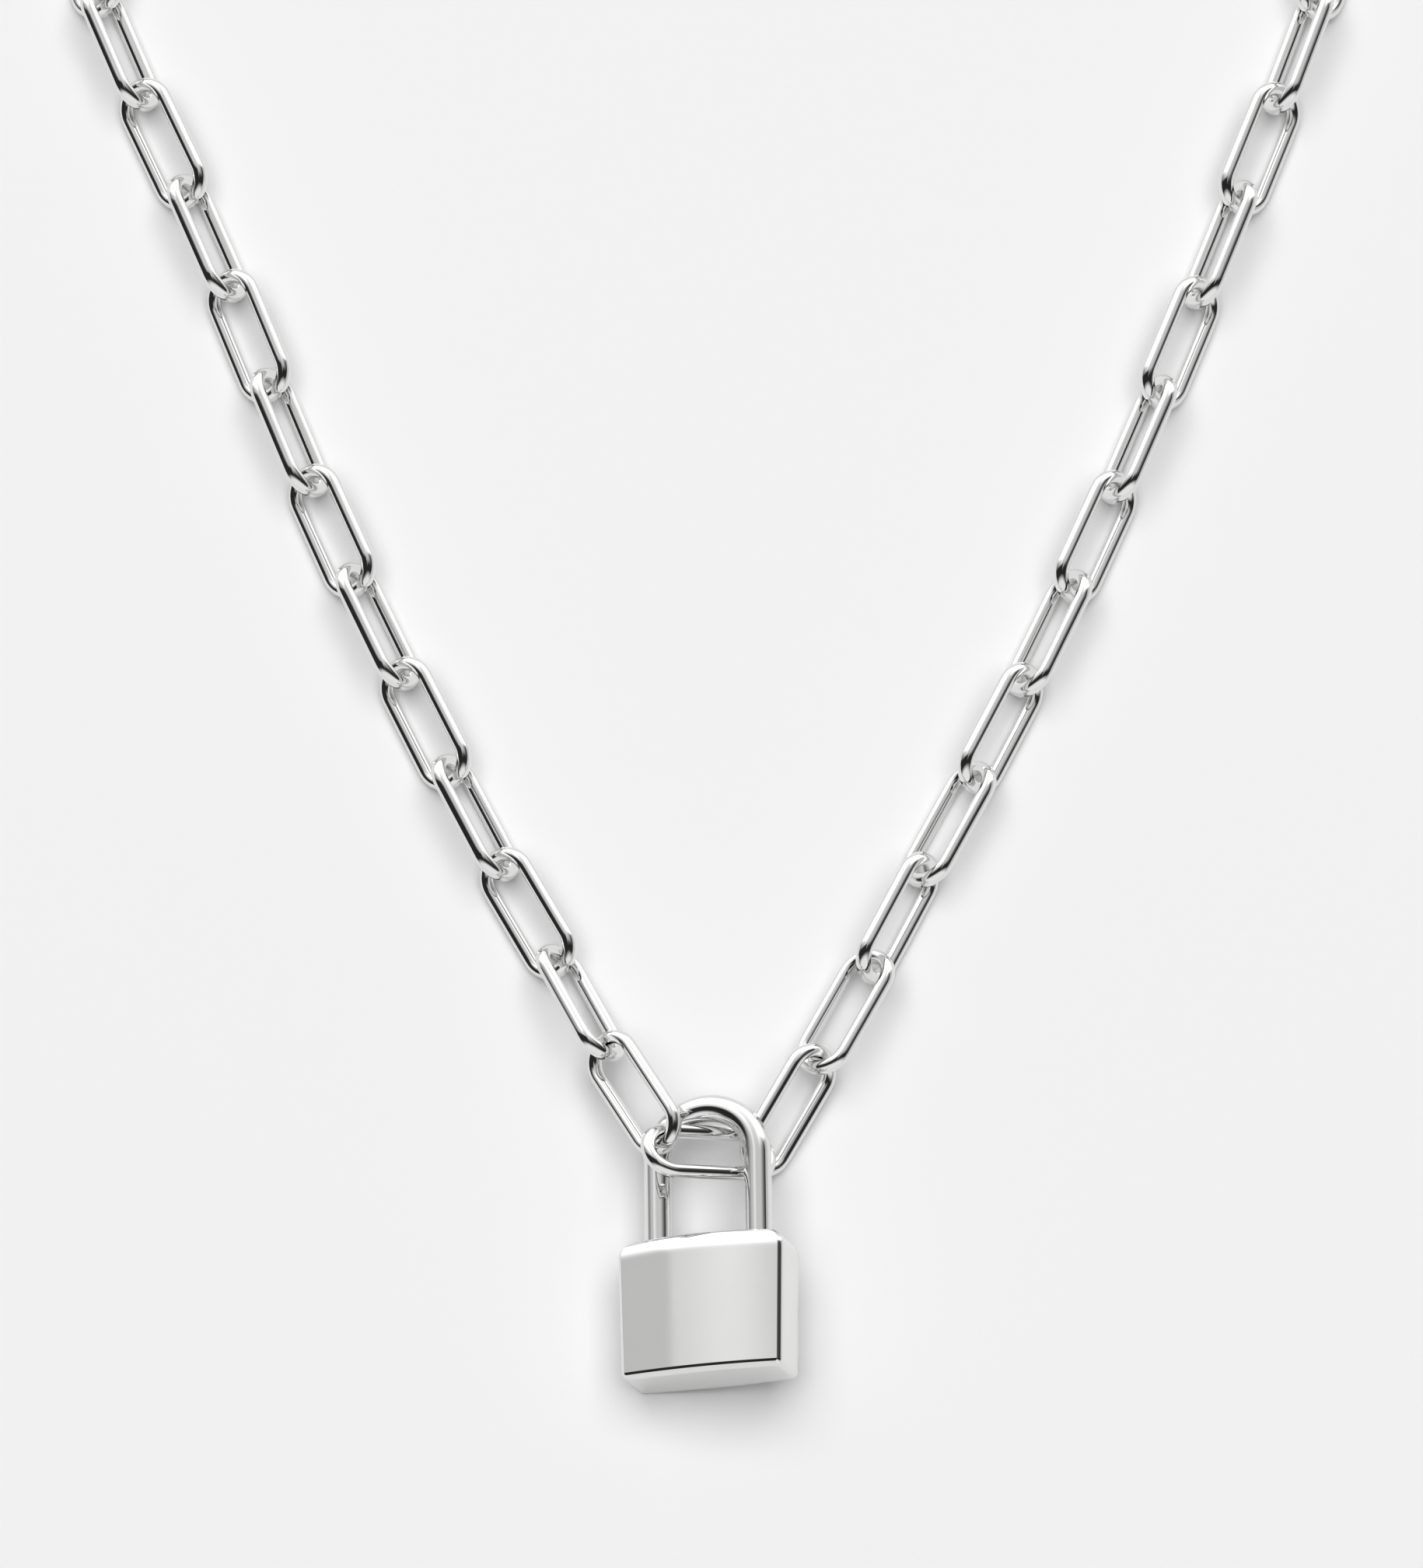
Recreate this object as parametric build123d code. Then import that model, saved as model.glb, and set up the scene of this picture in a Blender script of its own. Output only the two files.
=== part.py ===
from build123d import *
import math
import os

# Padlock pendant on a closed necklace, lying flat. X runs across the necklace, Y from the
# pendant towards the back of the neck, Z up from the surface it lies on. Millimetres, degrees.

# Body of the padlock. Its own frame has the origin at the middle of the top face, y towards
# the shackle and z out of the front face.
body_width = 15.6
body_height = 13.1
body_depth = 5.7
bottom_width_share = 0.968
top_bow = 0.3
top_corner = 1.4
bottom_corner = 0.6
face_crown = 0.6
roll_off_length = 1.7
roll_off_drop = 0.7
edge_round = 0.4

# Shackle: round wire bent to a U, its legs seated in two blind sockets in the body.
shackle_wire = 2.5
shackle_span = 9.55
shackle_rise = 7.68
seat_depth = 3.0
seat_clearance = 0.1
socket_chamfer = 0.2
leg_end_share = 0.25

# Chain link: a closed oval of oval wire.
link_length = 13.5
link_width = 5.9
link_wire_wide = 1.3
link_wire_deep = 1.48
link_play = 0.6
links_per_side = 20

# Jump rings and clasp, which close the chain at the back of the neck.
ring_outer = 6.4
ring_wire = 1.0
clasp_length = 12.0
clasp_width = 5.6
clasp_thickness = 1.7
clasp_eye_wall = 1.2
clasp_round = 0.5

# How the padlock lies: turned in plan, shackle end raised, right side raised.
lock_turn = 0.7
lock_pitch = -0.1
lock_roll = 17.5

# How the links nearest the pendant lie: turned in plan, the end towards the pendant raised,
# the inner side raised. The middle link points to the right.
middle_link_angles = (5.9, -26.5, -19.5)
left_link_angles = ((-59.9, 12.9, 39.5), (-63.5, 12.6, -51.4))
right_link_angles = ((239.7, -6.0, 47.5), (241.7, 3.5, -32.8))

# Where they lie: the middle link in the frame of the padlock, from the centre of the shackle's
# arch, in shares of the arch's centre radius; the others from the middle link, in link pitches.
middle_link_place = (0.044, 0.105, 0.070)
left_link_places = ((-0.654, 0.540, 0.025), (-1.136, 1.440, -0.190))
right_link_places = ((0.704, 0.462, -0.246), (1.215, 1.367, -0.222))

# The other links lie flat on the surface with every second one leaning the other way. The list
# gives the lean of the links counted from the third; the last two repeat to the end.
left_leans = (39, -52)
right_leans = (62, -43, 55, -50, 49, -58, 48, -59, 42, -60)
ring_lean = 50
clasp_lean = -30

# Route of the chain in plan from the left side of the pendant round to its right side, from the
# centre of the middle link. The whole list is scaled so that the chain just fills it.
route = [
    (-19.3, 28.7),
    (-24.0, 37.9),
    (-37.0, 65.8),
    (-48.7, 94.4),
    (-57.3, 114.0),
    (-60.0, 126.0),
    (-52.5, 146.0),
    (-25.0, 161.5),
    (25.0, 161.5),
    (52.5, 146.0),
    (60.0, 126.0),
    (57.2, 113.8),
    (50.0, 94.8),
    (38.3, 65.9),
    (25.0, 37.7),
    (20.0, 28.3),
]

# Sizes that follow from the ones above.
half_body = body_width / 2
link_bar = (link_width - link_wire_wide) / 2
link_pitch = link_length - 2 * link_wire_wide - link_play
ring_pitch = ring_outer - 2 * ring_wire - link_play
clasp_pitch = clasp_length - 2 * clasp_eye_wall - link_play
links_near_pendant = len(left_link_places)
first_on_route = links_near_pendant + 1
shackle_radius = shackle_span / 2
wire_radius = shackle_wire / 2

# How closely numbers that should be equal are compared, how far past the body the tool that
# crowns it reaches, and the search for the scale of the route.
closeness = 0.001
overreach = 1.5
smallest_scale = 0.5
largest_scale = 2.0
scale_steps = 30


def make_body():
    """Padlock body with crowned faces, a soft top edge and two sockets for the shackle."""
    half_bottom = half_body * bottom_width_share
    top_side = ThreePointArc((-half_body, -top_bow), (0, 0), (half_body, -top_bow))
    other_sides = Polyline(
        (half_body, -top_bow),
        (half_bottom, -body_height),
        (-half_bottom, -body_height),
        (-half_body, -top_bow),
    )
    outline = make_face(top_side + other_sides)
    outline = fillet(outline.vertices().group_by(Axis.Y)[-1], top_corner)
    outline = fillet(outline.vertices().group_by(Axis.Y)[0], bottom_corner)

    # The front face is a straight line that rolls off towards the top edge, turned about an
    # upright axis far behind the body, which crowns it across.
    crown_radius = (half_body**2 + face_crown**2) / (2 * face_crown)
    middle_height = body_depth / 2 + face_crown
    straight = Line((0, -2 * body_height, middle_height), (0, -roll_off_length, middle_height))
    roll_off = TangentArc(
        (0, -roll_off_length, middle_height),
        (0, 0, middle_height - roll_off_drop),
        tangent=(0, 1, 0),
    )
    inner = Polyline(
        (0, 0, middle_height - roll_off_drop),
        (0, 0, -body_depth),
        (0, -2 * body_height, -body_depth),
        (0, -2 * body_height, middle_height),
    )
    section = make_face(straight + roll_off + inner)
    crown_axis = Axis((0, 0, middle_height - crown_radius), (0, 1, 0))
    sweep_angle = 2 * overreach * math.degrees(math.asin(half_body / crown_radius))
    crowned = revolve(section.rotate(crown_axis, -sweep_angle / 2), crown_axis, sweep_angle)
    front_half = extrude(outline, body_depth) & crowned
    body = front_half + mirror(front_half, Plane.XY)

    walls = [f for f in body.faces() if abs(f.normal_at().Z) < closeness]
    rims = [e for f in walls for e in f.edges() if e.position_at(0).Z * e.position_at(1).Z > 0]
    body = fillet(ShapeList(rims), edge_round)

    socket_radius = wire_radius + seat_clearance
    mouth_drop = top_bow * (shackle_radius / half_body) ** 2
    chamfer_depth = socket_chamfer + mouth_drop
    for side in (-1, 1):
        mouth = Plane(origin=(side * shackle_radius, 0, 0), x_dir=(1, 0, 0), z_dir=(0, -1, 0))
        body -= mouth * extrude(Circle(socket_radius), seat_depth + seat_clearance)
        body -= mouth * Cone(
            socket_radius + chamfer_depth,
            socket_radius,
            chamfer_depth,
            align=(Align.CENTER, Align.CENTER, Align.MIN),
        )
    return body


def make_shackle():
    """Round wire in a U, from the bottom of one socket over the arch to the other."""
    leg_top = Plane(
        origin=(shackle_radius, shackle_rise, 0), x_dir=(1, 0, 0), z_dir=(0, -1, 0)
    )
    section = leg_top * Circle(wire_radius)
    leg = extrude(section, shackle_rise + seat_depth)
    leg = fillet(leg.edges().group_by(Axis.Y)[0], wire_radius * leg_end_share)
    arch = revolve(section, Axis((0, shackle_rise, 0), (0, 0, 1)), 180)
    return leg + arch + mirror(leg, Plane.YZ)


def make_link():
    """Closed oval link, x along its length and z square to it."""
    straight = link_length - link_width
    bar_section = Plane(
        origin=(straight / 2, link_bar, 0), x_dir=(0, 1, 0), z_dir=(-1, 0, 0)
    ) * Ellipse(link_wire_wide / 2, link_wire_deep / 2)
    bar = extrude(bar_section, straight)
    end = revolve(bar_section, Axis((straight / 2, 0, 0), (0, 0, -1)), 180)
    return bar + end + mirror(bar, Plane.XZ) + mirror(end, Plane.YZ)


def make_ring():
    """Round jump ring."""
    return Torus((ring_outer - ring_wire) / 2, ring_wire / 2)


def make_clasp():
    """Flat clasp plate with a round eye at each end, x along its length."""
    plate = extrude(SlotOverall(clasp_length, clasp_width), clasp_thickness / 2, both=True)
    eye_radius = clasp_width / 2 - clasp_eye_wall
    eye_place = (clasp_length - clasp_width) / 2
    for side in (-1, 1):
        plate -= Pos(side * eye_place, 0, 0) * Cylinder(eye_radius, clasp_thickness)
    rims = [e for e in plate.edges() if abs(e.center().Z) > clasp_thickness / 4]
    return fillet(ShapeList(rims), clasp_round)


def lying_plane(centre, angles, inner):
    """Plane of a piece of chain: x along it, z square to it. The angles are its turn in plan,
    the rise of its x end and the rise of its inner side, which is to the left of x where inner
    is 1 and to the right where inner is -1."""
    turn, rise, lean = (math.radians(a) for a in angles)
    flat = math.cos(rise)
    along = Vector(math.cos(turn) * flat, math.sin(turn) * flat, math.sin(rise))
    inward = Vector(-math.sin(turn), math.cos(turn), 0) * inner
    upward = along.cross(inward) * inner
    across = inward * math.cos(lean) + upward * math.sin(lean)
    return Plane(origin=centre, x_dir=along, z_dir=along.cross(across))


def rest_height(half_width, half_in_plane, half_square, lean):
    """Height of the centre of a level piece that leans on its lower side. Its section there is
    an oval whose centre is half_width from the middle of the piece."""
    lean = math.radians(abs(lean))
    oval = math.hypot(half_in_plane * math.sin(lean), half_square * math.cos(lean))
    return half_width * math.sin(lean) + oval


lock_place = Rot(0, 0, lock_turn) * Rot(lock_pitch, 0, 0) * Rot(0, -lock_roll, 0)
body_local = make_body()
lock_place = Pos(0, 0, -(lock_place * body_local).bounding_box().min.Z) * lock_place
pieces = {"lock_body": lock_place * body_local, "shackle": lock_place * make_shackle()}

link = make_link()
middle_local = Vector(
    shackle_radius * middle_link_place[0],
    shackle_rise + shackle_radius * middle_link_place[1],
    shackle_radius * middle_link_place[2],
)
middle_centre = (lock_place * Pos(*middle_local)).position
pieces["middle_link"] = lying_plane(middle_centre, middle_link_angles, 1).location * link

# The first two links on each side, and the point where the rest of the chain starts.
route_ends = []
for side, inner, places, angles in (
    ("left", 1, left_link_places, left_link_angles),
    ("right", -1, right_link_places, right_link_angles),
):
    for i in range(links_near_pendant):
        centre = middle_centre + Vector(*places[i]) * link_pitch
        plane = lying_plane(centre, angles[i], inner)
        pieces[f"{side}_link_{i + 1:02d}"] = plane.location * link
    end = centre - plane.x_dir * (link_pitch / 2)
    route_ends.append((end.X, end.Y))


def scaled_route(scale):
    """Smooth curve through the route's points, scaled about the middle link."""
    inside = [(middle_centre.X + scale * x, middle_centre.Y + scale * y) for x, y in route]
    return Spline(route_ends[0], *inside, route_ends[1])


# The pieces along the route, from the left of the pendant round to its right.
numbers_on_route = range(first_on_route, links_per_side + 1)
left_names = [f"left_link_{i:02d}" for i in numbers_on_route]
right_names = [f"right_link_{i:02d}" for i in numbers_on_route]
chain = [(name, "left", link_pitch) for name in left_names]
chain += [
    ("left_ring", "left", ring_pitch),
    ("clasp", "left", clasp_pitch),
    ("right_ring", "right", ring_pitch),
]
chain += [(name, "right", link_pitch) for name in reversed(right_names)]
chain_length = sum(step for name, side, step in chain)

smallest, largest = smallest_scale, largest_scale
for halving in range(scale_steps):
    scale = (smallest + largest) / 2
    if scaled_route(scale).length < chain_length:
        smallest = scale
    else:
        largest = scale
curve = scaled_route(scale)

ring = make_ring()
clasp = make_clasp()
done = 0.0
for name, side, step in chain:
    start = curve.position_at(done / chain_length)
    done += step
    finish = curve.position_at(done / chain_length)
    if side == "left":
        heading, inner, leans = start - finish, 1, left_leans
    else:
        heading, inner, leans = finish - start, -1, right_leans
    if "link" in name:
        number = int(name[-2:]) - first_on_route
        if number < len(leans):
            lean = leans[number]
        else:
            lean = leans[-2 + (number - len(leans)) % 2]
        shape = link
        height = rest_height(link_bar, link_wire_wide / 2, link_wire_deep / 2, lean)
    elif "ring" in name:
        lean = ring_lean
        shape = ring
        height = rest_height((ring_outer - ring_wire) / 2, ring_wire / 2, ring_wire / 2, lean)
    else:
        lean = clasp_lean
        shape = clasp
        half_width = clasp_width / 2 - clasp_round
        height = rest_height(half_width, clasp_round, clasp_round, lean)
        height += (clasp_thickness / 2 - clasp_round) * math.cos(math.radians(lean))
    middle = (start + finish) / 2
    turn = math.degrees(math.atan2(heading.Y, heading.X))
    plane = lying_plane(Vector(middle.X, middle.Y, height), (turn, 0, lean), inner)
    pieces[name] = plane.location * shape

# The origin is the middle of the whole necklace's box, on the surface it lies on.
box = Compound(list(pieces.values())).bounding_box()
shift = Pos(-(box.min.X + box.max.X) / 2, -(box.min.Y + box.max.Y) / 2, -box.min.Z)
os.makedirs("parts", exist_ok=True)
for name, shape in pieces.items():
    export_step(shift * shape, f"parts/{name}.step")
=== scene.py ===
import math

import bmesh
import bpy
import numpy as np
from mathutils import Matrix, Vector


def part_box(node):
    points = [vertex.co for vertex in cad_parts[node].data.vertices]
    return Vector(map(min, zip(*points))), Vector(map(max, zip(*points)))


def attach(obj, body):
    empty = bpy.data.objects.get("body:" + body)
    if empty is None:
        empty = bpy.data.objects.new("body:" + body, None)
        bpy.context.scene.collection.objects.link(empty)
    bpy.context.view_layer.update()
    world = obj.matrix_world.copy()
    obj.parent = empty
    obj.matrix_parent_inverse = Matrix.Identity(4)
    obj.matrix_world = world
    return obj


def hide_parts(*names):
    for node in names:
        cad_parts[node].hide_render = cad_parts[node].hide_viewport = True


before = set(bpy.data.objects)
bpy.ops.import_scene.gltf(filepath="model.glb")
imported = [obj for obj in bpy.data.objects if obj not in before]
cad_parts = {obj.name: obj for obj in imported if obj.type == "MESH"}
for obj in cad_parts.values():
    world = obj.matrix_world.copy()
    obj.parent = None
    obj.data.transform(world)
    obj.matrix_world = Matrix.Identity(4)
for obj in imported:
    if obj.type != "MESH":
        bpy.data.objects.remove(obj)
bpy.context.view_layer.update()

# Surface it lies on: a plain sheet of pale matt card under the necklace. It is far larger than
# the necklace, so its edges stay out of sight, and it is part of the stage, not of the object.
CARD_HALF = 1.6
CARD_COLOUR = (0.93, 0.93, 0.93, 1.0)

floor_mesh = bpy.data.meshes.new("floor")
floor_mesh.from_pydata(
    [(-CARD_HALF, -CARD_HALF, 0.0), (CARD_HALF, -CARD_HALF, 0.0),
     (CARD_HALF, CARD_HALF, 0.0), (-CARD_HALF, CARD_HALF, 0.0)],
    [],
    [(0, 1, 2, 3)],
)
floor = bpy.data.objects.new("floor", floor_mesh)
bpy.context.scene.collection.objects.link(floor)
card = bpy.data.materials.new("matt_card")
card.use_nodes = True
card_shader = card.node_tree.nodes["Principled BSDF"]
card_shader.inputs["Base Color"].default_value = CARD_COLOUR
card_shader.inputs["Roughness"].default_value = 0.9
card_shader.inputs["Specular IOR Level"].default_value = 0.0
floor_mesh.materials.append(card)

# Shackle: round wire of polished sterling silver, bent to a U. Both legs go down into sockets in
# the top of the lock body. In its own frame y runs from the lock's top face to the arch and z
# out of the front.
SHACKLE_WIRE = 0.00250
SHACKLE_SPAN = 0.00955
SHACKLE_RISE = 0.00768
SHACKLE_SEAT = 0.0030
LEG_END_ROUND = 0.25  # radius of the rounding at a leg's end, as a share of the wire's radius
LEG_END_STEPS = 7

# A ring of points this small closes a round end. tidy_mesh merges it to one point.
POLE_RADIUS = 1e-7
MERGE_DISTANCE = 2e-6
SHARP_ANGLE = math.radians(35)

SILVER_COLOUR = (0.795, 0.793, 0.788, 1.0)
SILVER_SHADE = (0.755, 0.754, 0.750, 1.0)
HAZE_SIZE = 260.0  # haze and marks: noise periods to the metre, before marks are lengthened
HAZE_START = 0.3
HAZE_FULL = 0.75
HAZE_ROUGHENS = 2.0
MARK_SIZE = 5200.0
MARK_HEIGHT = 0.00001


def polished_silver(name, stretch, polish, mark_depth):
    """Machine-polished silver that mirrors its surroundings. The roughness drifts slowly from
    polish, where it is bright, to HAZE_ROUGHENS times that, where it is a little hazy from
    handling, and fine polishing marks are in the bump. The marks' noise is read at the object's
    coordinates times stretch, so that along an axis where stretch is under one they are long."""
    material = bpy.data.materials.new(name)
    material.use_nodes = True
    nodes, links = material.node_tree.nodes, material.node_tree.links
    shader = nodes["Principled BSDF"]
    shader.inputs["Metallic"].default_value = 1.0
    place = nodes.new("ShaderNodeTexCoord")

    haze = nodes.new("ShaderNodeTexNoise")
    haze.inputs["Scale"].default_value = HAZE_SIZE
    haze.inputs["Detail"].default_value = 3.0
    links.new(place.outputs["Object"], haze.inputs["Vector"])
    tint = nodes.new("ShaderNodeMix")
    tint.data_type = "RGBA"
    tint.inputs["A"].default_value = SILVER_COLOUR
    tint.inputs["B"].default_value = SILVER_SHADE
    links.new(haze.outputs["Fac"], tint.inputs["Factor"])
    links.new(tint.outputs["Result"], shader.inputs["Base Color"])
    gloss = nodes.new("ShaderNodeMapRange")
    gloss.inputs["From Min"].default_value = HAZE_START
    gloss.inputs["From Max"].default_value = HAZE_FULL
    gloss.inputs["To Min"].default_value = polish
    gloss.inputs["To Max"].default_value = polish * HAZE_ROUGHENS
    links.new(haze.outputs["Fac"], gloss.inputs["Value"])
    links.new(gloss.outputs["Result"], shader.inputs["Roughness"])

    lengthened = nodes.new("ShaderNodeMapping")
    lengthened.inputs["Scale"].default_value = stretch
    links.new(place.outputs["Object"], lengthened.inputs["Vector"])
    marks = nodes.new("ShaderNodeTexNoise")
    marks.inputs["Scale"].default_value = MARK_SIZE
    marks.inputs["Detail"].default_value = 2.0
    links.new(lengthened.outputs["Vector"], marks.inputs["Vector"])
    bump = nodes.new("ShaderNodeBump")
    bump.inputs["Strength"].default_value = mark_depth
    bump.inputs["Distance"].default_value = MARK_HEIGHT
    links.new(marks.outputs["Fac"], bump.inputs["Height"])
    links.new(bump.outputs["Normal"], shader.inputs["Normal"])
    return material


def tidy_mesh(mesh):
    """Joins points that coincide, turns all faces outwards and marks edges that bend more than
    SHARP_ANGLE as sharp."""
    solid = bmesh.new()
    solid.from_mesh(mesh)
    bmesh.ops.remove_doubles(solid, verts=solid.verts, dist=MERGE_DISTANCE)
    bmesh.ops.recalc_face_normals(solid, faces=solid.faces)
    for edge in solid.edges:
        edge.smooth = edge.calc_face_angle(0.0) < SHARP_ANGLE
    solid.to_mesh(mesh)
    solid.free()
    mesh.update()


def new_piece(name, points, faces, material):
    """Smooth-shaded mesh object from an array of points in metres and an array of faces."""
    mesh = bpy.data.meshes.new(name)
    mesh.from_pydata(points.reshape(-1, 3), [], faces.tolist())
    mesh.polygons.foreach_set("use_smooth", np.ones(len(mesh.polygons), dtype=bool))
    mesh.materials.append(material)
    tidy_mesh(mesh)
    piece = bpy.data.objects.new(name, mesh)
    bpy.context.scene.collection.objects.link(piece)
    return piece


def grid_faces(rows, columns, rows_close, columns_close):
    """Four-cornered faces between neighbouring points of a grid whose points are numbered row
    by row; rows or columns that close join their last line to their first."""
    r = np.arange(rows if rows_close else rows - 1)[:, None]
    c = np.arange(columns if columns_close else columns - 1)[None, :]
    r_next, c_next = (r + 1) % rows, (c + 1) % columns
    corners = [
        r * columns + c, r_next * columns + c, r_next * columns + c_next, r * columns + c_next
    ]
    return np.stack([k + 0 * (r + c) for k in corners], axis=-1).reshape(-1, 4)


def mesh_arrays(mesh):
    """Points and triangles of a Blender mesh, as arrays."""
    mesh.calc_loop_triangles()
    points = np.empty(len(mesh.vertices) * 3)
    mesh.vertices.foreach_get("co", points)
    corners = np.empty(len(mesh.loop_triangles) * 3, dtype=int)
    mesh.loop_triangles.foreach_get("vertices", corners)
    return points.reshape(-1, 3), corners.reshape(-1, 3)


def principal_frame(mesh):
    """Centre and principal axes of a surface. The centre is the mean of the triangles' centres
    weighted by area. The second moment of a triangle about it is the area over 12 times the sum
    of the outer products of its three corners and of the sum of the corners, and the axes are
    the eigenvectors of the total, longest spread first, with the third square to the others."""
    points, triangles = mesh_arrays(mesh)
    corners = points[triangles]
    area = np.linalg.norm(
        np.cross(corners[:, 1] - corners[:, 0], corners[:, 2] - corners[:, 0]), axis=1
    )
    centre = np.average(corners.mean(axis=1), axis=0, weights=area)
    corners = corners - centre
    spread = np.concatenate([corners, corners.sum(axis=1, keepdims=True)], axis=1)
    moment = np.einsum("n,nki,nkj->ij", area / 12.0, spread, spread)
    axes = np.linalg.eigh(moment)[1][:, ::-1].copy()
    axes[:, 2] = np.cross(axes[:, 0], axes[:, 1])
    return centre, axes


def move_points(piece, turn, shift):
    """Every point of the piece becomes turn times the point plus shift."""
    points = mesh_arrays(piece.data)[0] @ turn.T + shift
    piece.data.vertices.foreach_set("co", points.ravel())
    piece.data.update()


def seat_on_node(piece, node, first_axis, second_axis):
    """Turns and moves the piece's points so that its principal frame falls on the node's, and
    gives the turn and the shift. The node's first two axes are flipped to point along the two
    hints, given in the row's frame; each of the piece's own is flipped to point along the
    positive side of the axis it lies nearest to."""
    node_centre, node_axes = principal_frame(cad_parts[node].data)
    centre, axes = principal_frame(piece.data)
    for k, hint in enumerate((first_axis, second_axis)):
        node_axes[:, k] *= 1.0 if node_axes[:, k] @ np.array(hint) >= 0 else -1.0
        axes[:, k] *= 1.0 if axes[np.argmax(np.abs(axes[:, k])), k] >= 0 else -1.0
    for a in (node_axes, axes):
        a[:, 2] = np.cross(a[:, 0], a[:, 1])
    turn = node_axes @ axes.T
    shift = node_centre - turn @ centre
    move_points(piece, turn, shift)
    return turn, shift


def finish_piece(piece, *nodes):
    """The piece rides on the row's one body and shows in place of its nodes."""
    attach(piece, "root")
    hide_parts(*nodes)


def shackle_surface(along_leg, along_arch, around):
    """Wire carried along a path that goes up the left leg, half round the arch and down the
    right leg. The section is a circle, and at each leg's end it shrinks along a quarter circle
    to a flat that ends in one point."""
    radius, half = SHACKLE_WIRE / 2, SHACKLE_SPAN / 2
    end_round = radius * LEG_END_ROUND
    theta = np.linspace(0.0, np.pi / 2, LEG_END_STEPS)
    end_y = -SHACKLE_SEAT + end_round * (1 - np.sin(theta))
    end_r = radius - end_round * (1 - np.cos(theta))
    leg_y = np.linspace(-SHACKLE_SEAT + end_round, SHACKLE_RISE, along_leg)
    turn = np.linspace(0.0, np.pi, along_arch)[1:-1]
    up_y = np.concatenate([[-SHACKLE_SEAT], end_y[::-1][:-1], leg_y])
    up_r = np.concatenate([[POLE_RADIUS], end_r[::-1][:-1], np.full(along_leg, radius)])
    px = np.concatenate([np.full(len(up_y), -half), -half * np.cos(turn), np.full(len(up_y), half)])
    py = np.concatenate([up_y, SHACKLE_RISE + half * np.sin(turn), up_y[::-1]])
    pr = np.concatenate([up_r, np.full(len(turn), radius), up_r[::-1]])
    out_x = np.concatenate([np.full(len(up_y), -1.0), -np.cos(turn), np.full(len(up_y), 1.0)])
    out_y = np.concatenate([np.zeros(len(up_y)), np.sin(turn), np.zeros(len(up_y))])
    phi = np.linspace(0.0, 2 * np.pi, around, endpoint=False)
    outward = pr[:, None] * np.cos(phi)
    x = px[:, None] + outward * out_x[:, None]
    y = py[:, None] + outward * out_y[:, None]
    z = pr[:, None] * np.sin(phi)
    points = np.stack([x, y, z], axis=-1)
    return points, grid_faces(len(px), around, False, True)


wire_silver = polished_silver(
    "silver_drawn_wire", stretch=(0.3, 0.3, 0.3), polish=0.045, mark_depth=0.004
)
shackle_points, shackle_faces = shackle_surface(along_leg=40, along_arch=140, around=64)
shackle = new_piece("shackle_wire", shackle_points, shackle_faces, wire_silver)
lock_turn, lock_shift = seat_on_node(shackle, "shackle", (0, 1, 0), (1, 0, 0))
finish_piece(shackle, "shackle")

# Lock body: a cast and polished silver block with crowned faces. Its side and bottom edges are
# crisp, its top edge is bowed and rolls off softly, and two chamfered sockets drilled into the
# top take the shackle's legs. It is placed exactly as the shackle above is.
BODY_WIDTH = 0.0156
BODY_HEIGHT = 0.0131
BODY_DEPTH = 0.0057
BOTTOM_SHARE = 0.968  # width at the bottom as a share of the width at the top
TOP_BOW = 0.0003
TOP_CORNER = 0.0014
BOTTOM_CORNER = 0.0006
HALF_CORNER_STEPS = 13
CROWN = 0.0006
ROLL_OFF_LENGTH = 0.0021
ROLL_OFF_DROP = 0.00066
EDGE_ROUND = 0.00040
EDGE_FLATNESS = 1.15  # power of the superellipse over the edge: 2 is round, 1 a flat chamfer
LOW_BEVEL = 0.00054
LOW_BEVEL_SLOPE = 0.36
LOW_BEVEL_BLEND = 0.0001
SOCKET_PLAY = 0.0001
SOCKET_CHAMFER = 0.0001
CUTTER_ABOVE = 0.0005  # how far the cutter reaches out of the lock's top
SOCKET_AROUND = 64


def outline_side(start_corner, end_corner, start_angle, flat, end_angle, samples):
    """Points and outward normals' angles along one side of the front outline, from the middle
    of the rounded corner at its start to the middle of the one at its end. Along the straight
    stretch the points lie closer near both ends, as the cosine of evenly spaced angles does. A
    corner is its centre and radius; flat is the angle of the straight stretch's normal."""
    a0 = np.linspace(start_angle, flat, HALF_CORNER_STEPS)
    a1 = np.linspace(flat, end_angle, HALF_CORNER_STEPS)
    (c0, r0), (c1, r1) = start_corner, end_corner
    normal = np.array([math.cos(flat), math.sin(flat)])
    t = (1 - np.cos(np.linspace(0.0, np.pi, samples)))[1:-1, None] / 2
    line = (1 - t) * (c0 + r0 * normal) + t * (c1 + r1 * normal)
    first = c0 + r0 * np.stack([np.cos(a0), np.sin(a0)], axis=-1)
    last = c1 + r1 * np.stack([np.cos(a1), np.sin(a1)], axis=-1)
    angles = np.concatenate([a0, np.full(len(line), flat), a1])
    return np.concatenate([first, line, last]), angles


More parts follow.
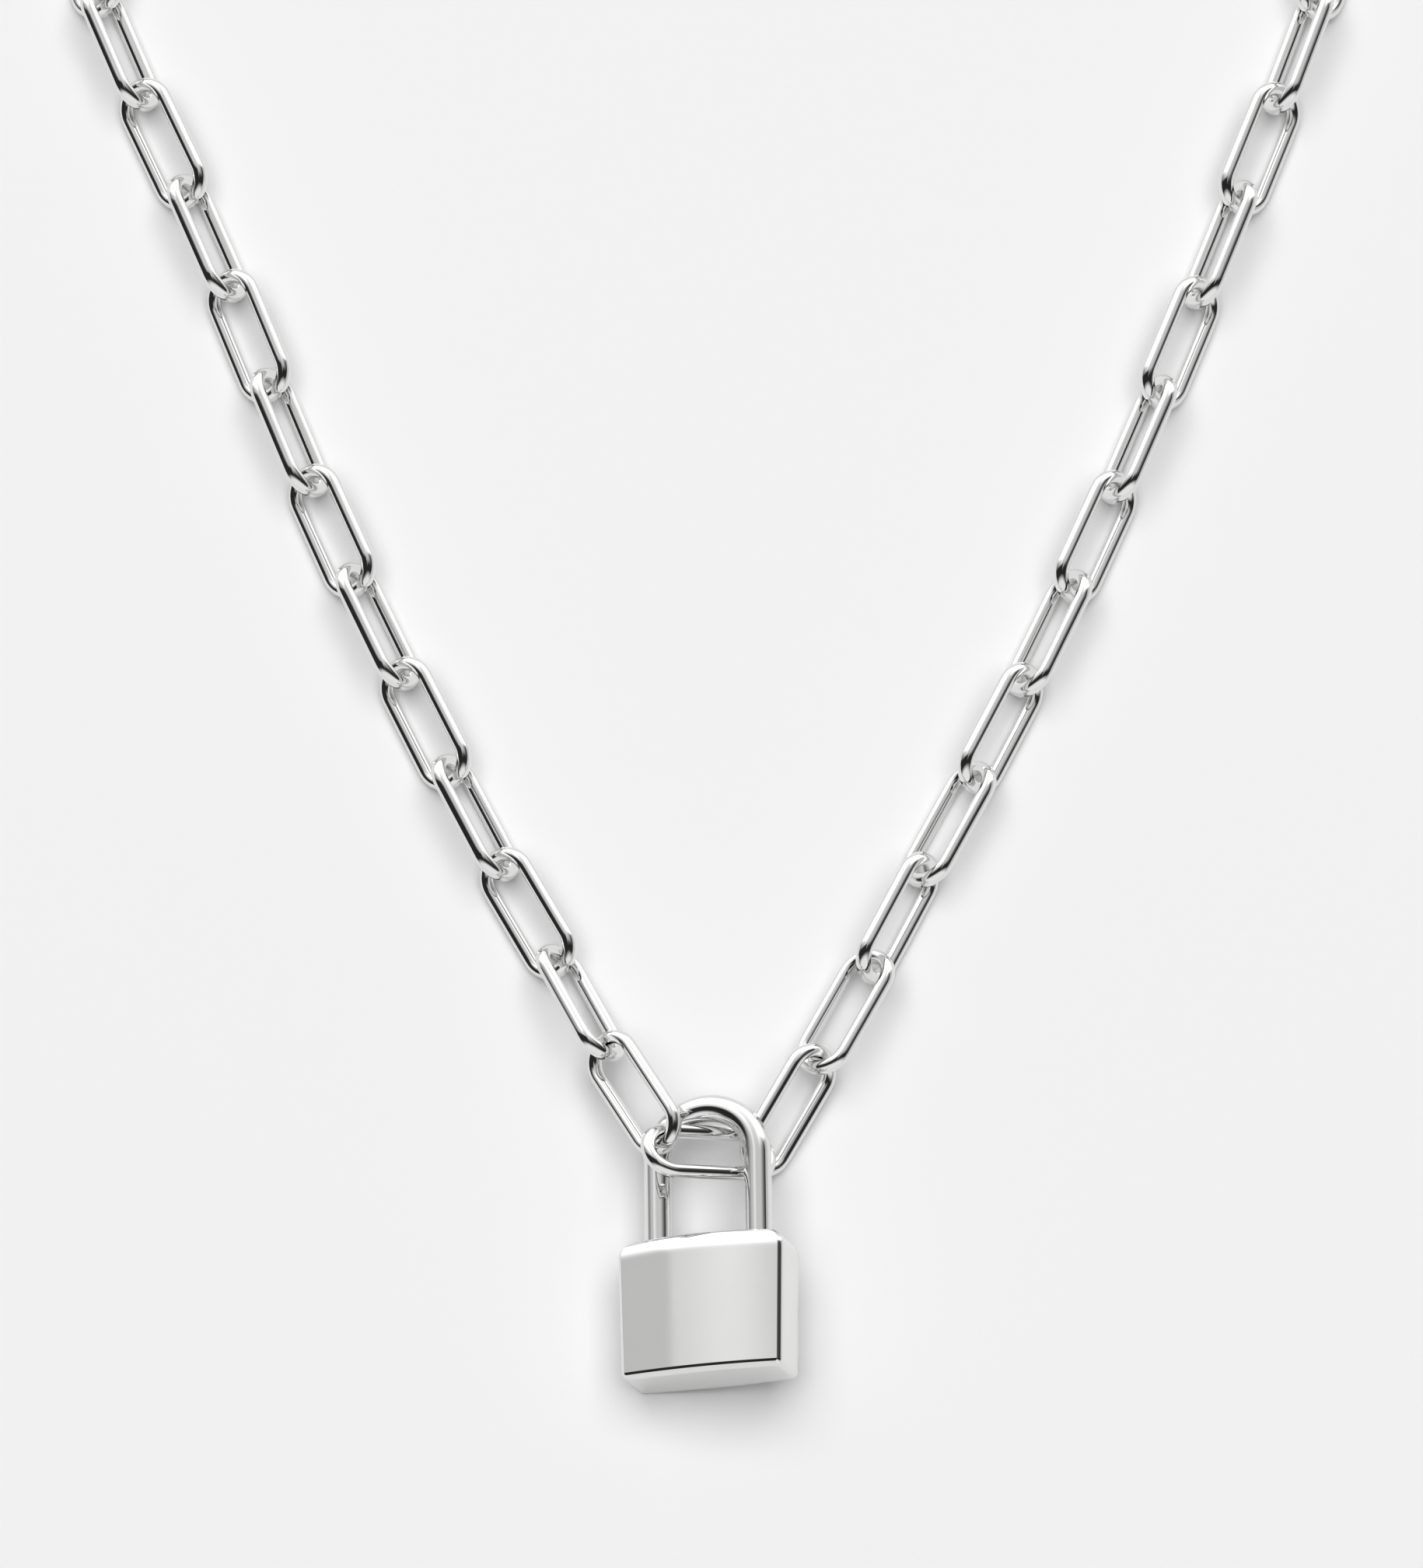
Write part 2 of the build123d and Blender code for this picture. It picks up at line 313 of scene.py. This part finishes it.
def front_outline(samples):
    """The four sides of the front outline, anticlockwise from the bottom one: a trapezium that
    is narrower at the bottom, with a rounded corner between each two sides."""
    top, low = BODY_WIDTH / 2, BODY_WIDTH / 2 * BOTTOM_SHARE
    lean = math.atan2(top - low, BODY_HEIGHT)
    flats = [-math.pi / 2, -lean, math.pi / 2, math.pi + lean, 1.5 * math.pi]
    corners, middles = [], []
    for k, (x_sign, y, radius) in enumerate((
        (1, -BODY_HEIGHT, BOTTOM_CORNER),
        (1, 0.0, TOP_CORNER),
        (-1, 0.0, TOP_CORNER),
        (-1, -BODY_HEIGHT, BOTTOM_CORNER),
    )):
        height = y + radius if y < 0 else y - radius
        wall = low + (top - low) * (height + BODY_HEIGHT) / BODY_HEIGHT
        corners.append((np.array([x_sign * (wall - radius / math.cos(lean)), height]), radius))
        middles.append((flats[k] + flats[k + 1]) / 2)
    middles.insert(0, middles[-1] - 2 * math.pi)
    return [
        outline_side(corners[k - 1], corners[k], middles[k], flats[k], middles[k + 1], samples)
        for k in range(4)
    ]


def face_height(x, y):
    """Height of the front face over the middle plane: half the depth, plus a crown across that
    falls off as an arc towards the sides, less a roll-off near the top edge that grows with the
    cube of the way to the edge, less a narrow bevel of one slope along the bottom edge that is
    blended in by a parabola."""
    half = BODY_WIDTH / 2
    arc = (half**2 + CROWN**2) / (2 * CROWN)
    crown = CROWN - (arc - np.sqrt(arc**2 - x**2))
    into = np.clip(1 + y / ROLL_OFF_LENGTH, 0.0, 1.0)
    low = np.clip(LOW_BEVEL - BODY_HEIGHT - y, 0.0, LOW_BEVEL)
    blend = np.minimum(low, LOW_BEVEL_BLEND)
    bevel = LOW_BEVEL_SLOPE * (blend**2 / (2 * LOW_BEVEL_BLEND) + low - blend)
    return BODY_DEPTH / 2 + crown - ROLL_OFF_DROP * into**3 - bevel


def grid_between_sides(bottom, right, top, left):
    """Grid of points inside four sides that run anticlockwise and share their corners: the
    straight blend from bottom to top plus that from left to right, less the straight blend
    between the four corners, which both of them hold."""
    top, left = top[::-1], left[::-1]
    u = np.linspace(0, 1, len(bottom))[:, None, None]
    v = np.linspace(0, 1, len(right))[None, :, None]
    return (
        (1 - v) * bottom[:, None] + v * top[:, None] + (1 - u) * left[None] + u * right[None]
        - (1 - u) * ((1 - v) * bottom[0] + v * top[0])
        - u * ((1 - v) * bottom[-1] + v * top[-1])
    )


def body_surface(samples, rings, wall_rows):
    """Front half of the lock body, as a face grid and a skirt grid. The outline is pulled in by
    the edge radius, less for a sloping face, and the face inside it is lifted to the face's
    height. Outside it rows of points go over the edge, whose section is a superellipse from the
    face's slope to the wall, and down to the middle plane."""
    sides = front_outline(samples)
    outline = np.concatenate([points[:-1] for points, angles in sides])
    angle = np.concatenate([angles[:-1] for points, angles in sides])
    normal = np.stack([np.cos(angle), np.sin(angle)], axis=-1)
    # The pull-in hangs on the face's slope and the slope on where it ends: a few rounds settle it.
    step = 1e-6
    slope = np.zeros(len(outline))
    for _ in range(6):
        inset = outline - normal * (EDGE_ROUND * (1 - np.sin(slope)))[:, None]
        ahead = inset + normal * step
        fall = face_height(inset[:, 0], inset[:, 1]) - face_height(ahead[:, 0], ahead[:, 1])
        slope = np.arctan2(fall, step)
    closed = np.concatenate([inset, inset[:1]])
    count = len(outline) // 4
    patch = grid_between_sides(*(closed[k * count:(k + 1) * count + 1] for k in range(4)))
    face = np.concatenate([patch, face_height(patch[..., :1], patch[..., 1:])], axis=-1)

    turn = np.linspace(0, np.pi / 2, rings)
    out_share = np.sin(turn) ** (2 / EDGE_FLATNESS)
    down_share = 1 - np.cos(turn) ** (2 / EDGE_FLATNESS)
    reach = EDGE_ROUND * (1 - np.sin(slope))[:, None]
    drop = EDGE_ROUND * np.cos(slope)[:, None]
    sloping = np.tan(slope)[:, None] * reach
    out = reach * (out_share - 1)
    rim = face_height(inset[:, 0], inset[:, 1])[:, None]
    down = rim - drop * down_share - sloping * out_share * (1 - down_share)
    wall = down[:, -1:] * np.linspace(1, 0, wall_rows + 1)[None, 1:]
    out = np.concatenate([out, np.zeros((len(out), wall_rows))], axis=1)
    height = np.concatenate([down, wall], axis=1)
    skirt = np.concatenate(
        [outline[:, None] + normal[:, None] * out[..., None], height[..., None]], axis=-1
    )
    return face, skirt


def socket_cutter(side):
    """Tool for one socket: a shaft down to the socket's floor, widened by a cone at the mouth.
    Rings of points about the leg's axis from the tool's top to its tip."""
    mouth = -TOP_BOW * (SHACKLE_SPAN / BODY_WIDTH) ** 2
    shaft = SHACKLE_WIRE / 2 + SOCKET_PLAY
    wide = shaft + SOCKET_CHAMFER + CUTTER_ABOVE - mouth
    socket_floor = -SHACKLE_SEAT - SOCKET_PLAY
    heights = np.array(
        [CUTTER_ABOVE, CUTTER_ABOVE, mouth - SOCKET_CHAMFER, socket_floor, socket_floor]
    )
    radii = np.array([POLE_RADIUS, wide, shaft, shaft, POLE_RADIUS])
    phi = np.linspace(0, 2 * np.pi, SOCKET_AROUND, endpoint=False)
    x = side * SHACKLE_SPAN / 2 + radii[:, None] * np.cos(phi)
    z = radii[:, None] * np.sin(phi)
    y = heights[:, None] + 0 * x
    return np.stack([x, y, z], axis=-1), grid_faces(len(heights), len(phi), False, True)


body_silver = polished_silver(
    "silver_lock_body", stretch=(1.0, 0.12, 1.0), polish=0.05, mark_depth=0.015
)
face, skirt = body_surface(samples=72, rings=14, wall_rows=5)
block_points, block_faces, count = [], [], 0
for grid, around in ((face, False), (skirt, True)):
    for depth_sign in (1.0, -1.0):
        grid_points = grid.reshape(-1, 3) * np.array([1.0, 1.0, depth_sign])
        bow = TOP_BOW * (2 * grid_points[:, 0] / BODY_WIDTH) ** 2
        grid_points[:, 1] -= bow * (1 + grid_points[:, 1] / BODY_HEIGHT)
        block_points.append(grid_points)
        block_faces.append(grid_faces(grid.shape[0], grid.shape[1], around, False) + count)
        count += len(grid_points)
lock_body = new_piece(
    "lock_block", np.concatenate(block_points), np.concatenate(block_faces), body_silver
)
cutters = []
for side in (-1, 1):
    cutter_points, cutter_faces = socket_cutter(side)
    cutter = new_piece("socket_cutter", cutter_points, cutter_faces, body_silver)
    drill = lock_body.modifiers.new("socket", "BOOLEAN")
    drill.object = cutter
    drill.operation = "DIFFERENCE"
    drill.solver = "EXACT"
    cutters.append(cutter)
bored = bpy.data.meshes.new_from_object(
    lock_body.evaluated_get(bpy.context.evaluated_depsgraph_get())
)
lock_body.modifiers.clear()
lock_body.data = bored
for cutter in cutters:
    bpy.data.objects.remove(cutter)
tidy_mesh(lock_body.data)
move_points(lock_body, lock_turn, lock_shift)
finish_piece(lock_body, "lock_body")

# Chain links: drawn silver wire of oval section, bent to a long oval with its ends soldered shut.
# All links are alike, and each shows in place of its solid, found from that solid's own
# principal axes.
LINK_LENGTH = 0.0135
LINK_WIDTH = 0.0059
WIRE_WIDE = 0.0013
WIRE_DEEP = 0.00148


def oval_loop(length, width, wire_wide, wire_deep, around_end, along_bar, around_wire):
    """Wire carried round a long oval in the x-y plane: two straight bars and two half circles.
    The section is an ellipse, wire_wide across in the plane of the oval and wire_deep square
    to it."""
    bend = (width - wire_wide) / 2
    straight = (length - width) / 2
    turn = np.linspace(-np.pi / 2, np.pi / 2, around_end)
    bar = np.linspace(straight, -straight, along_bar)[1:-1]
    cx = np.concatenate([np.full(around_end, straight), bar, np.full(around_end, -straight), -bar])
    angle = np.concatenate(
        [turn, np.full(len(bar), np.pi / 2), turn + np.pi, np.full(len(bar), 1.5 * np.pi)]
    )
    phi = np.linspace(0.0, 2 * np.pi, around_wire, endpoint=False)
    reach = bend + wire_wide / 2 * np.cos(phi)[None, :]
    x = cx[:, None] + reach * np.cos(angle)[:, None]
    y = reach * np.sin(angle)[:, None]
    z = wire_deep / 2 * np.sin(phi)[None, :] + 0 * x
    return np.stack([x, y, z], axis=-1), grid_faces(len(cx), around_wire, True, True)


link_points, link_faces = oval_loop(
    LINK_LENGTH, LINK_WIDTH, WIRE_WIDE, WIRE_DEEP, around_end=33, along_bar=14, around_wire=36
)
link_nodes = sorted(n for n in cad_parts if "link" in n)
for node in link_nodes:
    link = new_piece(node + "_wire", link_points, link_faces, wire_silver)
    seat_on_node(link, node, (0, -1, 0), (1, 0, 0))
    finish_piece(link, node)

# Jump rings: two rings of round silver wire at the back of the necklace, one through the last
# link on each side. They join the chain's two ends to the clasp.
RING_OUTER = 0.0064
RING_WIRE = 0.0010

ring_points, ring_faces = oval_loop(
    RING_OUTER, RING_OUTER, RING_WIRE, RING_WIRE, around_end=33, along_bar=2, around_wire=28
)
for node in ("left_ring", "right_ring"):
    ring = new_piece(node + "_wire", ring_points, ring_faces, wire_silver)
    seat_on_node(ring, node, (1, 0, 0), (0, 1, 0))
    finish_piece(ring, node)

# Clasp: a stamped silver plate with round ends, rounded over all its edges, with a round eye at
# each end for the jump rings.
CLASP_LENGTH = 0.0120
CLASP_WIDTH = 0.0056
CLASP_THICKNESS = 0.0017
CLASP_EYE_WALL = 0.0012
CLASP_ROUND = 0.0005
CLASP_ROUND_STEPS = 5
CLASP_END_STEPS = 33


def clasp_loop(centre_spread, radius):
    """Flat loop of points: two half circles whose centres lie centre_spread to each side of the
    middle, joined by straight lines."""
    turn = np.linspace(-np.pi / 2, np.pi / 2, CLASP_END_STEPS)
    right = centre_spread + radius * np.cos(turn)
    x = np.concatenate([right, -right])
    y = np.concatenate([radius * np.sin(turn), -radius * np.sin(turn)])
    return np.stack([x, y, np.zeros(len(x)), np.ones(len(x))], axis=-1)


plate = bpy.data.curves.new("clasp_plate", "CURVE")
plate.dimensions = "2D"
plate.fill_mode = "BOTH"
plate.extrude = CLASP_THICKNESS / 2 - CLASP_ROUND
plate.bevel_depth = CLASP_ROUND
plate.bevel_resolution = CLASP_ROUND_STEPS
plate.offset = -CLASP_ROUND
eye_place = (CLASP_LENGTH - CLASP_WIDTH) / 2
outer = clasp_loop(eye_place, CLASP_WIDTH / 2)
eye = clasp_loop(0.0, CLASP_WIDTH / 2 - CLASP_EYE_WALL)
for loop in (outer, eye + [eye_place, 0, 0, 0], eye - [eye_place, 0, 0, 0]):
    spline = plate.splines.new("POLY")
    spline.points.add(len(loop) - 1)
    spline.points.foreach_set("co", loop.ravel())
    spline.use_cyclic_u = True
plate_object = bpy.data.objects.new("clasp_outline", plate)
plate_mesh = bpy.data.meshes.new_from_object(plate_object)
bpy.data.objects.remove(plate_object)
plate_points, plate_faces = mesh_arrays(plate_mesh)
clasp = new_piece("clasp_plate", plate_points, plate_faces, wire_silver)
seat_on_node(clasp, "clasp", (1, 0, 0), (0, 1, 0))
finish_piece(clasp, "clasp")

# Camera: a long lens, a little forward of straight above, so that the necklace is seen as it
# lies on its card. It aims at the card between the chain's two sides, north of the middle link.
CAMERA_RISE = math.radians(72.0)
CAMERA_DISTANCE = 1.5
CAMERA_LENS = 413.1
CAMERA_SENSOR = 36.0
CAMERA_SIGHT = 20.0
AIM_EAST = 0.00028
AIM_NORTH = 0.03695

middle_low, middle_high = (np.array(corner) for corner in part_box("middle_link"))
middle = (middle_low + middle_high) / 2
aim = np.array([middle[0] + AIM_EAST, middle[1] + AIM_NORTH, 0.0])
camera_data = bpy.data.cameras.new("camera")
camera_data.sensor_fit = "HORIZONTAL"
camera_data.sensor_width = CAMERA_SENSOR
camera_data.lens = CAMERA_LENS
camera_data.clip_end = CAMERA_SIGHT
camera = bpy.data.objects.new("camera", camera_data)
camera.location = aim + CAMERA_DISTANCE * np.array(
    [0.0, -math.cos(CAMERA_RISE), math.sin(CAMERA_RISE)]
)
camera.rotation_euler = (math.pi / 2 - CAMERA_RISE, 0.0, 0.0)
bpy.context.scene.collection.objects.link(camera)
bpy.context.scene.camera = camera

# Studio tent: white cloth all round, brightest behind the necklace. Its ceiling darkens towards
# the camera, a dark card hangs at each side, and white card stands in front and low on the right.
# The matt card below gets little of its light, because the soft box is what lights that.
TENT_LEVEL = 1.17
TENT_DARKEST = 0.02
TENT_ON_CARD = 0.9  # share of the tent's light that the matt card doesn't get

# Brightness rises and falls with the direction, given as its share of a unit length to the east,
# to the north, upwards, or sideways, which is east or west. Each line holds the share where a
# change starts, the share where it ends, and the brightness at both.
WALL_TO_NORTH = (0.22, 0.95, 0.55, 1.05)
WALL_BACK_GLOW = (0.60, 0.95, 0.0, 0.1)
CORNER_TO_SIDE = (0.10, 0.35, 0.0, 1.0)
CORNER_TO_NORTH = (0.30, 0.60, 0.0, 0.45)
CEILING_TO_NORTH = (-0.33, 0.10, 0.0, 1.0)
LEFT_CARD_TO_NORTH = (0.02, 0.24, 0.0, 1.0)
RIGHT_CARD_TO_NORTH = (-0.25, 0.22, 0.0, 1.0)
RIGHT_CARD_TO_EAST = (-0.05, 0.05, 0.0, 1.0)
GAP_TO_SIDE = (0.03, 0.15, 1.0, 0.0)
RIGHT_FALL_TO_EAST = (0.30, 0.90, 1.0, 0.02)
LEFT_GLOW_TO_WEST = (-0.20, -0.46, 1.0, 1.45)
LEFT_DIM_TO_WEST = (-0.46, -0.63, 1.0, 0.85)
LEFT_PANEL_TO_WEST = (-0.615, -0.645, 1.0, 0.76)
LEFT_FALL_TO_WEST = (-0.78, -0.95, 1.0, 0.5)
BACK_WALL_TO_NORTH = (0.40, 0.60, 0.0, 1.0)
LOW_CARD_UPWARDS = (0.33, 0.37, 0.5, 0.0)
LOW_CARD_TO_EAST = (0.6, 0.8, 0.0, 1.0)
FRONT_CARD_TO_SOUTH = (-0.42, -0.75, 0.0, 0.8)

world = bpy.data.worlds.new("studio")
bpy.context.scene.world = world
world.use_nodes = True
tent, wires = world.node_tree.nodes, world.node_tree.links
background = tent["Background"]
background.inputs["Color"].default_value = (1.0, 1.0, 1.0, 1.0)
direction = tent.new("ShaderNodeTexCoord")
split = tent.new("ShaderNodeSeparateXYZ")
wires.new(direction.outputs["Generated"], split.inputs["Vector"])


def ramp(source, low, high, start, end):
    """Smooth step of the source from start at low to end at high."""
    step = tent.new("ShaderNodeMapRange")
    step.interpolation_type = "SMOOTHSTEP"
    for key, value in (("From Min", low), ("From Max", high), ("To Min", start), ("To Max", end)):
        step.inputs[key].default_value = value
    wires.new(source, step.inputs["Value"])
    return step.outputs["Result"]


def combine(operation, first, *others):
    """Math nodes that carry one operation from the first through all the other sources, each of
    them a node's output or a number."""
    result = first
    for other in others:
        node = tent.new("ShaderNodeMath")
        node.operation = operation
        for socket, value in zip(node.inputs, (result, other)):
            if isinstance(value, (int, float)):
                socket.default_value = value
            else:
                wires.new(value, socket)
        result = node.outputs["Value"]
    return result


east, north, upwards = split.outputs["X"], split.outputs["Y"], split.outputs["Z"]
sideways = combine("ABSOLUTE", east, 0.0)

corners = combine("MULTIPLY", ramp(sideways, *CORNER_TO_SIDE), ramp(north, *CORNER_TO_NORTH))
wall = combine("ADD", ramp(north, *WALL_TO_NORTH), corners, ramp(north, *WALL_BACK_GLOW))
ceiling = ramp(north, *CEILING_TO_NORTH)

past_right_card = combine(
    "MULTIPLY", ramp(north, *RIGHT_CARD_TO_NORTH), ramp(east, *RIGHT_CARD_TO_EAST)
)
past_left_card = ramp(north, *LEFT_CARD_TO_NORTH)
open_sky = combine("MAXIMUM", past_left_card, past_right_card, ramp(sideways, *GAP_TO_SIDE))

shades = combine(
    "MULTIPLY",
    ramp(east, *RIGHT_FALL_TO_EAST),
    ramp(east, *LEFT_GLOW_TO_WEST),
    ramp(east, *LEFT_DIM_TO_WEST),
    ramp(east, *LEFT_PANEL_TO_WEST),
    ramp(east, *LEFT_FALL_TO_WEST),
)
sides = combine("MAXIMUM", shades, ramp(north, *BACK_WALL_TO_NORTH))
sky = combine("MULTIPLY", wall, ceiling, open_sky, sides)

low_card = combine("MULTIPLY", ramp(upwards, *LOW_CARD_UPWARDS), ramp(east, *LOW_CARD_TO_EAST))
front_card = ramp(north, *FRONT_CARD_TO_SOUTH)
brightest = combine("MAXIMUM", sky, front_card, low_card)
mirrored = combine("MULTIPLY", combine("ADD", brightest, TENT_DARKEST), TENT_LEVEL)

path_kind = tent.new("ShaderNodeLightPath")
held_back = combine("MULTIPLY", path_kind.outputs["Is Diffuse Ray"], TENT_ON_CARD)
let_through = combine("SUBTRACT", 1.0, held_back)
wires.new(combine("MULTIPLY", mirrored, let_through), background.inputs["Strength"])

# Soft box: a wide one overhead, a little behind the necklace. It lights the card and gives the
# soft shadows round the pendant, and stays out of the silver's reflections.
SOFT_BOX_SIDE = 1.9
SOFT_BOX_POWER = 32.0
SOFT_BOX_DISTANCE = 1.6
SOFT_BOX_RISE = math.radians(85)

box_light = bpy.data.lights.new("soft_box", "AREA")
box_light.shape = "SQUARE"
box_light.size = SOFT_BOX_SIDE
box_light.energy = SOFT_BOX_POWER
soft_box = bpy.data.objects.new("soft_box", box_light)
soft_box.location = aim + SOFT_BOX_DISTANCE * np.array(
    [0.0, math.cos(SOFT_BOX_RISE), math.sin(SOFT_BOX_RISE)]
)
soft_box.rotation_euler = (SOFT_BOX_RISE - math.pi / 2, 0.0, 0.0)
soft_box.visible_glossy = False
bpy.context.scene.collection.objects.link(soft_box)

bpy.context.scene.view_settings.view_transform = "Standard"
